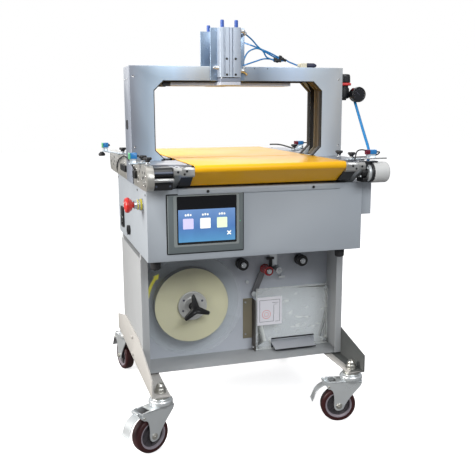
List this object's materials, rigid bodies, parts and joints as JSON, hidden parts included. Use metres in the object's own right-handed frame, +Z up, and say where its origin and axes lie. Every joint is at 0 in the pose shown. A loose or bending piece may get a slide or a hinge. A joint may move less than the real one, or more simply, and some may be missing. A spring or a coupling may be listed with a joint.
{
  "type": "arch banding machine",
  "caption": "Free-standing arch-type film banding machine with yellow belts, pneumatic press bar, touch panel, film reel bay and a castor stand.",
  "frame": {"origin": "on the floor, under the middle of the bounding box", "axes": "+Z up, +X to the operator's right along the front, -Y towards the operator"},
  "size_m": [0.7622, 0.7414, 1.117],
  "materials": {
    "cabinet_paint": "fine satin powder coat",
    "arch_paint": "satin enamel",
    "stand_paint": "fine satin powder coat",
    "rubber_black": "matt",
    "bezel_grey": "fine moulded",
    "screen_glass": "glossy lit display",
    "collar_yellow": "glossy",
    "stop_red": "glossy",
    "inlet_black": "matt moulded",
    "zinc_plate": "bright zinc plating",
    "track_dark": "matt",
    "bracket_alu": "clear anodised",
    "cylinder_alu": "clear anodised",
    "bar_grey": "satin",
    "fitting_silver": "nickel plating",
    "regulator_black": "matt moulded",
    "belt_yellow": "smooth polyurethane",
    "roller_steel": "ground",
    "frame_alu": "milled",
    "drive_mixed": "semi-gloss",
    "knob_black": "moulded",
    "sensor_blue": "glossy",
    "film_olive": "wound film edge",
    "disc_clear": "clear acrylic",
    "hub_steel": "turned",
    "guide_black": "matt",
    "arm_grey": "satin",
    "dancer_red": "glossy anodised",
    "cover_clear": "clear acrylic",
    "guard_bronze": "brushed",
    "tyre_maroon": "smooth polyurethane",
    "rim_grey": "moulded"
  },
  "bodies": {
    "machine": {"air_cylinders": "cylinder_alu", "air_fittings": "fitting_silver", "arch_frame": "arch_paint", "belt_drives": "drive_mixed", "belt_front": "belt_yellow", "belt_rear": "belt_yellow", "cabinet_shell": "cabinet_paint", "castor_stems": "zinc_plate", "conveyor_frame": "frame_alu", "cover_guard": "guard_bronze", "cover_panel": "cover_clear", "cover_plates": "cabinet_paint", "estop_base": "collar_yellow", "film_track": "track_dark", "foot_rails": "stand_paint", "hmi_bezel": "bezel_grey", "hmi_screen": "screen_glass", "leg_panels": "stand_paint", "press_brackets": "bracket_alu", "regulator_body": "regulator_black", "rubber_feet": "rubber_black", "shelf_tray": "stand_paint", "side_inlet": "inlet_black", "thumb_knobs": "knob_black", "wall_fittings": "zinc_plate"},
    "estop_button": {"estop_button": "stop_red"},
    "rocker_switch": {"rocker_switch": "inlet_black"},
    "press_bar": {"press_bar": "bar_grey"},
    "regulator_knob": {"regulator_knob": "regulator_black"},
    "nose_roller_front": {"nose_roller_front": "roller_steel"},
    "nose_roller_rear": {"nose_roller_rear": "roller_steel"},
    "sensor_fl": {"sensor_fl": "sensor_blue"},
    "sensor_rl": {"sensor_rl": "sensor_blue"},
    "sensor_fr": {"sensor_fr": "sensor_blue"},
    "sensor_rr": {"sensor_rr": "sensor_blue"},
    "reel": {"film_roll": "film_olive", "reel_discs": "disc_clear", "reel_hub": "hub_steel", "reel_knob": "knob_black"},
    "guide_roller_left": {"guide_roller_left": "guide_black"},
    "guide_roller_right": {"guide_roller_right": "guide_black"},
    "dancer_arm": {"dancer_arm": "arm_grey"},
    "dancer_roller": {"dancer_roller": "dancer_red"},
    "scrap_flap": {"scrap_flap": "arm_grey"},
    "fork_fl": {"fork_fl": "zinc_plate"},
    "wheel_fl": {"rim_fl": "rim_grey", "tyre_fl": "tyre_maroon"},
    "pedal_fl": {"pedal_fl": "zinc_plate"},
    "fork_fr": {"fork_fr": "zinc_plate"},
    "wheel_fr": {"rim_fr": "rim_grey", "tyre_fr": "tyre_maroon"},
    "pedal_fr": {"pedal_fr": "zinc_plate"},
    "fork_rl": {"fork_rl": "zinc_plate"},
    "wheel_rl": {"rim_rl": "rim_grey", "tyre_rl": "tyre_maroon"},
    "pedal_rl": {"pedal_rl": "zinc_plate"},
    "fork_rr": {"fork_rr": "zinc_plate"},
    "wheel_rr": {"rim_rr": "rim_grey", "tyre_rr": "tyre_maroon"},
    "pedal_rr": {"pedal_rr": "zinc_plate"}
  },
  "joints": [
    {"name": "swivel_fl", "type": "hinge", "parent": "machine", "child": "fork_fl", "pos_m": [-0.27092, -0.30922, 0.143], "axis": [0, 0, 1], "continuous": true},
    {"name": "wheel_spin_fl", "type": "hinge", "parent": "fork_fl", "child": "wheel_fl", "pos_m": [-0.30381, -0.32386, 0.05], "axis": [-0.4067, 0.9135, 0], "continuous": true},
    {"name": "brake_fl", "type": "hinge", "parent": "fork_fl", "child": "pedal_fl", "pos_m": [-0.33122, -0.33606, 0.108], "axis": [0.4067, -0.9135, 0], "range_deg": [0, 12]},
    {"name": "swivel_fr", "type": "hinge", "parent": "machine", "child": "fork_fr", "pos_m": [0.28108, -0.30922, 0.143], "axis": [0, 0, 1], "continuous": true},
    {"name": "wheel_spin_fr", "type": "hinge", "parent": "fork_fr", "child": "wheel_fr", "pos_m": [0.24615, -0.30051, 0.05], "axis": [0.2419, 0.9703, 0], "continuous": true},
    {"name": "brake_fr", "type": "hinge", "parent": "fork_fr", "child": "pedal_fr", "pos_m": [0.21704, -0.29325, 0.108], "axis": [-0.2419, -0.9703, 0], "range_deg": [0, 12]},
    {"name": "swivel_rl", "type": "hinge", "parent": "machine", "child": "fork_rl", "pos_m": [-0.27092, 0.25678, 0.143], "axis": [0, 0, 1], "continuous": true},
    {"name": "wheel_spin_rl", "type": "hinge", "parent": "fork_rl", "child": "wheel_rl", "pos_m": [-0.27902, 0.29186, 0.05], "axis": [0.9744, 0.225, 0], "continuous": true},
    {"name": "brake_rl", "type": "hinge", "parent": "fork_rl", "child": "pedal_rl", "pos_m": [-0.28577, 0.32109, 0.108], "axis": [-0.9744, -0.225, 0], "range_deg": [0, 12]},
    {"name": "swivel_rr", "type": "hinge", "parent": "machine", "child": "fork_rr", "pos_m": [0.28108, 0.25678, 0.143], "axis": [0, 0, 1], "continuous": true},
    {"name": "wheel_spin_rr", "type": "hinge", "parent": "fork_rr", "child": "wheel_rr", "pos_m": [0.27482, 0.22133, 0.05], "axis": [-0.9848, 0.1736, 0], "continuous": true},
    {"name": "brake_rr", "type": "hinge", "parent": "fork_rr", "child": "pedal_rr", "pos_m": [0.26961, 0.19179, 0.108], "axis": [0.9848, -0.1736, 0], "range_deg": [0, 12]},
    {"name": "stop_press", "type": "slide", "parent": "machine", "child": "estop_button", "axis": [1, 0, 0], "range_m": [0, 0.004]},
    {"name": "rocker_tilt", "type": "hinge", "parent": "machine", "child": "rocker_switch", "pos_m": [-0.29592, 0.11778, 0.573], "axis": [0, 1, 0], "range_deg": [-6, 6]},
    {"name": "press_stroke", "type": "slide", "parent": "machine", "child": "press_bar", "axis": [0, 0, -1], "range_m": [0, 0.075]},
    {"name": "regulator_turn", "type": "hinge", "parent": "machine", "child": "regulator_knob", "pos_m": [0.33508, -0.10422, 0.958], "axis": [0, 0, 1], "range_deg": [-170, 170]},
    {"name": "belt_front_drive", "type": "hinge", "parent": "machine", "child": "nose_roller_front", "pos_m": [0.00508, -0.35522, 0.741], "axis": [1, 0, 0], "continuous": true},
    {"name": "belt_rear_drive", "type": "hinge", "parent": "machine", "child": "nose_roller_rear", "pos_m": [0.00508, 0.33278, 0.741], "axis": [1, 0, 0], "continuous": true},
    {"name": "sensor_adjust_fl", "type": "slide", "parent": "machine", "child": "sensor_fl", "axis": [1, 0, 0], "range_m": [-0.009, 0.007]},
    {"name": "sensor_adjust_rl", "type": "slide", "parent": "machine", "child": "sensor_rl", "axis": [1, 0, 0], "range_m": [-0.009, 0.009]},
    {"name": "sensor_adjust_fr", "type": "slide", "parent": "machine", "child": "sensor_fr", "axis": [1, 0, 0], "range_m": [-0.009, 0.009]},
    {"name": "sensor_adjust_rr", "type": "slide", "parent": "machine", "child": "sensor_rr", "axis": [1, 0, 0], "range_m": [-0.009, 0.009]},
    {"name": "reel_spin", "type": "hinge", "parent": "machine", "child": "reel", "pos_m": [-0.14092, -0.10722, 0.332], "axis": [0, 1, 0], "continuous": true},
    {"name": "guide_left_spin", "type": "hinge", "parent": "machine", "child": "guide_roller_left", "pos_m": [0.02008, -0.10422, 0.434], "axis": [0, 1, 0], "continuous": true},
    {"name": "guide_right_spin", "type": "hinge", "parent": "machine", "child": "guide_roller_right", "pos_m": [0.20708, -0.10422, 0.434], "axis": [0, 1, 0], "continuous": true},
    {"name": "dancer_swing", "type": "hinge", "parent": "machine", "child": "dancer_arm", "pos_m": [0.06008, -0.09322, 0.337], "axis": [0, 1, 0], "range_deg": [-20, 6]},
    {"name": "dancer_roller_spin", "type": "hinge", "parent": "dancer_arm", "child": "dancer_roller", "pos_m": [0.09208, -0.11922, 0.415], "axis": [0, 1, 0], "continuous": true},
    {"name": "scrap_flap_lift", "type": "hinge", "parent": "machine", "child": "scrap_flap", "pos_m": [0.18108, -0.08722, 0.183], "axis": [-1, 0, 0], "range_deg": [0, 20]}
  ],
  "couplings": [
    {"joint": "belt_rear_drive", "follows": "belt_front_drive", "ratio": 1},
    {"joint": "guide_left_spin", "follows": "reel_spin", "ratio": 6.7647},
    {"joint": "guide_right_spin", "follows": "reel_spin", "ratio": 6.7647},
    {"joint": "dancer_roller_spin", "follows": "reel_spin", "ratio": -8.2143}
  ]
}
